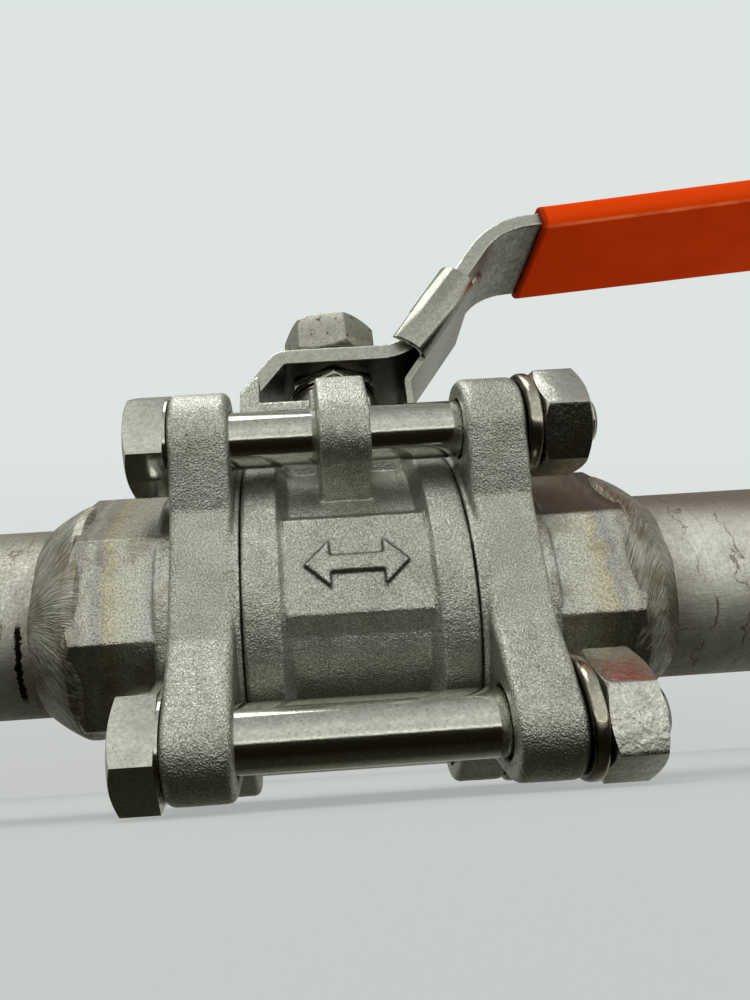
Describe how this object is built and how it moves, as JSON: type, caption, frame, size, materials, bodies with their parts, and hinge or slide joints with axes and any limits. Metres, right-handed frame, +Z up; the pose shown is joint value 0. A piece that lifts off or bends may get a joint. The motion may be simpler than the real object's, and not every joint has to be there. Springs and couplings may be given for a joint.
{
  "type": "three-piece ball valve",
  "caption": "Bolted three-piece ball valve welded between two cut pipe stubs, with a cranked lever, a locking slide and an orange vinyl grip.",
  "frame": {"origin": "centre of the ball, where the pipe axis and the stem axis cross", "axes": "+X along the pipe axis towards the lever's free end when the valve is open, +Z up along the stem, +Y completes the right-handed set"},
  "size_m": [0.2577, 0.0652, 0.1227],
  "materials": {
    "cast_stainless": "bead-blasted casting",
    "pipe": "pickled pipe",
    "weld": "rippled weld",
    "ptfe": "waxy",
    "bolt_steel": "bright turned",
    "nut_steel": "cold formed",
    "spring_steel": "bright",
    "turned_steel": "turned",
    "ball_chrome": "polished",
    "sheet_steel": "satin sheet",
    "orange_vinyl": "dipped vinyl"
  },
  "bodies": {
    "valve_body": {"body_bolts": "bolt_steel", "bolt_nuts": "nut_steel", "bolt_spring_washers": "spring_steel", "center_body": "cast_stainless", "gland_ring": "turned_steel", "left_body_gasket": "ptfe", "left_end_cap": "cast_stainless", "left_pipe_stub": "pipe", "left_seat_ring": "ptfe", "left_weld_bead": "weld", "right_body_gasket": "ptfe", "right_end_cap": "cast_stainless", "right_pipe_stub": "pipe", "right_seat_ring": "ptfe", "right_weld_bead": "weld", "stem_packing": "ptfe", "stem_thrust_washer": "ptfe"},
    "lever_and_ball": {"ball": "ball_chrome", "stem": "turned_steel", "belleville_washers": "spring_steel", "packing_nut": "nut_steel", "lever": "sheet_steel", "lever_grip": "orange_vinyl", "lever_washer": "spring_steel", "lever_nut": "nut_steel"},
    "lock_slide": {"lock_slide": "sheet_steel"}
  },
  "joints": [
    {"name": "lever_turn", "type": "hinge", "parent": "valve_body", "child": "lever_and_ball", "pos_m": [0, 0, 0], "axis": [0, 0, 1], "range_deg": [-90, 0]},
    {"name": "lock_slide", "type": "slide", "parent": "lever_and_ball", "child": "lock_slide", "axis": [0.6004, 0, 0.7997], "range_m": [-0.0025, 0.004]}
  ]
}
